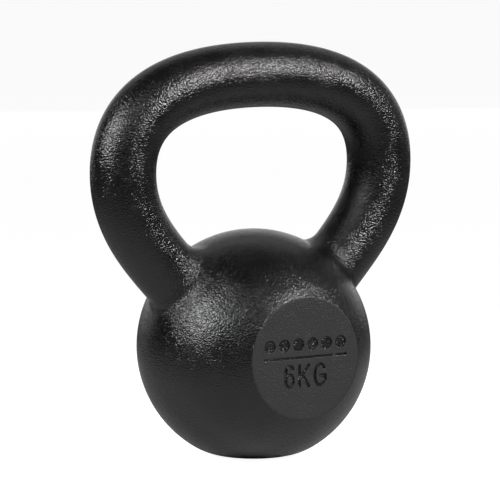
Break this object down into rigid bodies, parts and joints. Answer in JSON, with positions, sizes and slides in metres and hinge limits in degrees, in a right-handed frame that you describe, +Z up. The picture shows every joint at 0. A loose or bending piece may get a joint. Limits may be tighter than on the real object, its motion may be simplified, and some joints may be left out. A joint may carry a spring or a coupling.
{
  "type": "kettlebell",
  "caption": "Round iron hand weight with a closed bow handle on top, blended in at both roots, a flat marked face on the front, a plain one on the back and a small flat base.",
  "frame": {"origin": "centre of the flat base, on the floor", "axes": "+Z up through the ball and the middle of the grip, X along the grip, -Y out of the marked front flat"},
  "size_m": [0.1656, 0.0926, 0.1903],
  "materials": {
    "ball_coat": "black baked enamel with an orange-peel grain",
    "handle_coat": "black baked enamel with an orange-peel grain",
    "weld_coat": "hollow blend at the root, under the same black enamel; that it is ground weld is assumed"
  },
  "bodies": {
    "root": {"ball": "ball_coat", "handle": "handle_coat", "weld_left": "weld_coat", "weld_right": "weld_coat"}
  },
  "joints": []
}
